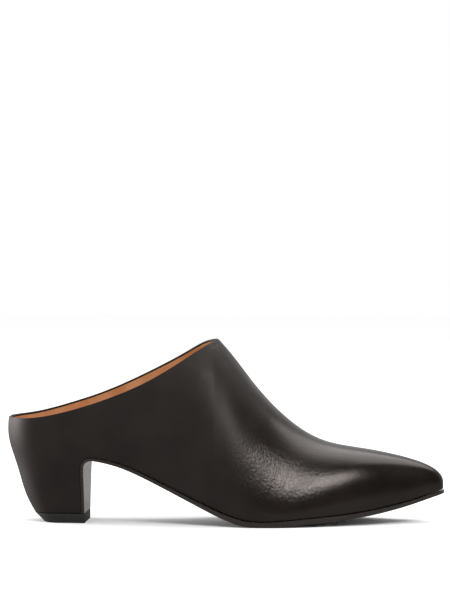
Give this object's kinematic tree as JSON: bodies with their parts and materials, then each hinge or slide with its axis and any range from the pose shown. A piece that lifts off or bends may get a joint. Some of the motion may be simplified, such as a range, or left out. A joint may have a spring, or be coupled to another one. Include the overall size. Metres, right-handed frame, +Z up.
{
  "type": "mule shoe",
  "caption": "Backless pointed-toe mule with a high vamp, low collar at the heel, leather-covered block heel, leather sole and rubber top piece.",
  "frame": {"origin": "on the floor, under the centre of the shoe's box", "axes": "+X from the heel to the toe, +Y to the inner side of the foot, +Z up; the box is longest along X and narrowest along Y"},
  "size_m": [0.268, 0.076, 0.1119],
  "materials": {
    "black_leather": "smooth black calf leather with a soft sheen",
    "tan_leather": "plain tan lining leather",
    "sole_leather": "black dyed and polished sole leather",
    "heel_core": "moulded heel core, hidden under the cover",
    "top_rubber": "matte black rubber"
  },
  "bodies": {
    "root": {"upper": "black_leather", "insole": "tan_leather", "outsole": "sole_leather", "heel_block": "heel_core", "top_piece": "top_rubber"}
  },
  "joints": []
}
